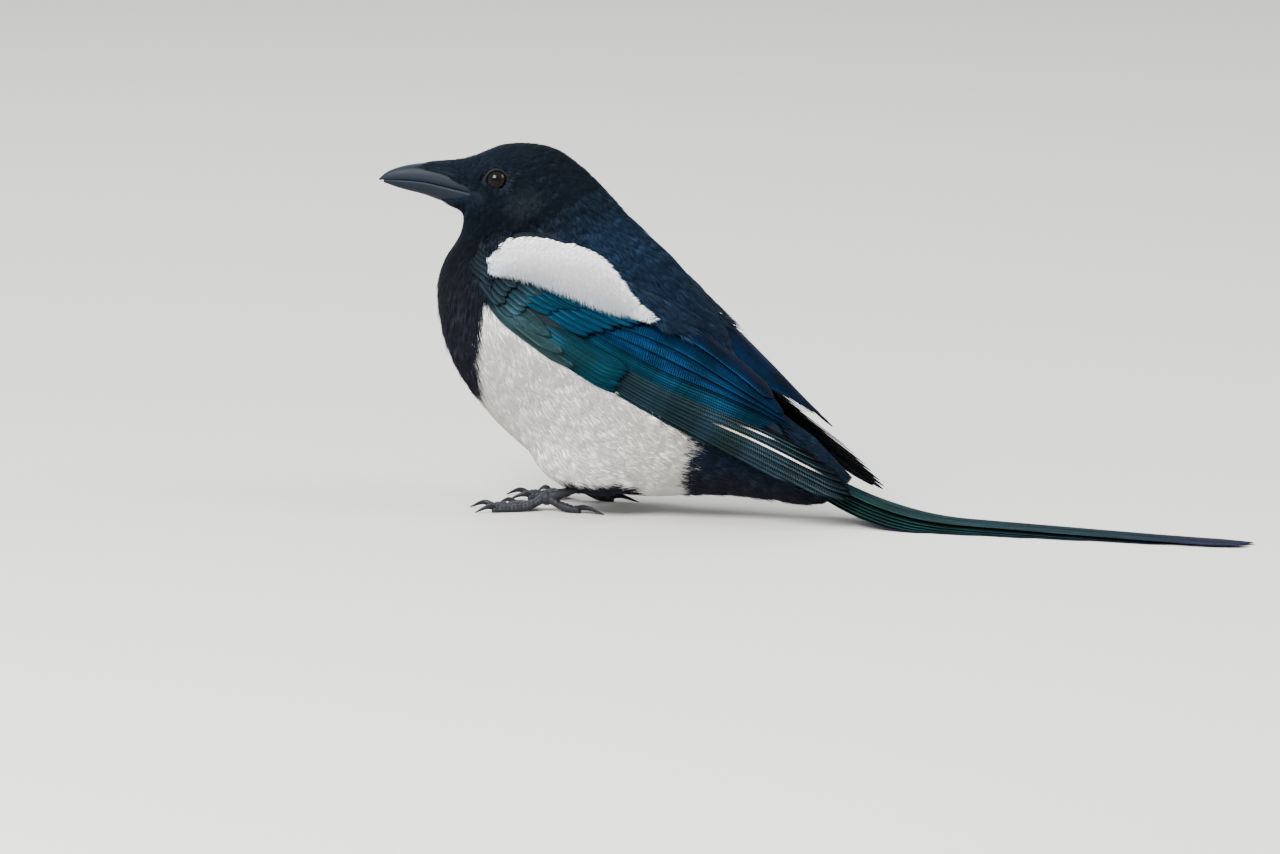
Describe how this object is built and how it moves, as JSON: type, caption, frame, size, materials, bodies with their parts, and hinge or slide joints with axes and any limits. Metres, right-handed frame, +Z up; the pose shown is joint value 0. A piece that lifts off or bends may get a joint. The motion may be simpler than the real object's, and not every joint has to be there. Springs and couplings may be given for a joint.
{
  "type": "eurasian magpie",
  "caption": "Life-size standing magpie, head turned to its left, wings folded and long graduated tail laid out behind it on the floor; a still display bird.",
  "frame": {"origin": "on the floor, midway between the tip of the bill and the tip of the tail and between the two wings", "axes": "the bird faces -X, its left side faces -Y, +Z is up"},
  "size_m": [0.3872, 0.0892, 0.1574],
  "materials": {
    "black_plumage": "soft black feather with a faint blue gloss",
    "white_plumage": "soft warm white feather",
    "wing_plumage": "glossy blue flight feather",
    "tail_plumage": "glossy green flight feather",
    "bill_horn": "dark horn with a low sheen",
    "eye": "wet, polished dark brown",
    "leg_skin": "scaly charcoal skin and horn"
  },
  "bodies": {
    "root": {"head": "black_plumage", "neck": "black_plumage", "torso": "white_plumage", "tail_base": "black_plumage", "tail": "tail_plumage", "bill_upper": "bill_horn", "bill_lower": "bill_horn", "eye_left": "eye", "eye_right": "eye", "wing_left": "wing_plumage", "wing_right": "wing_plumage", "thigh_left": "white_plumage", "thigh_right": "white_plumage", "tarsus_left": "leg_skin", "tarsus_right": "leg_skin", "foot_left": "leg_skin", "foot_right": "leg_skin"}
  },
  "joints": []
}
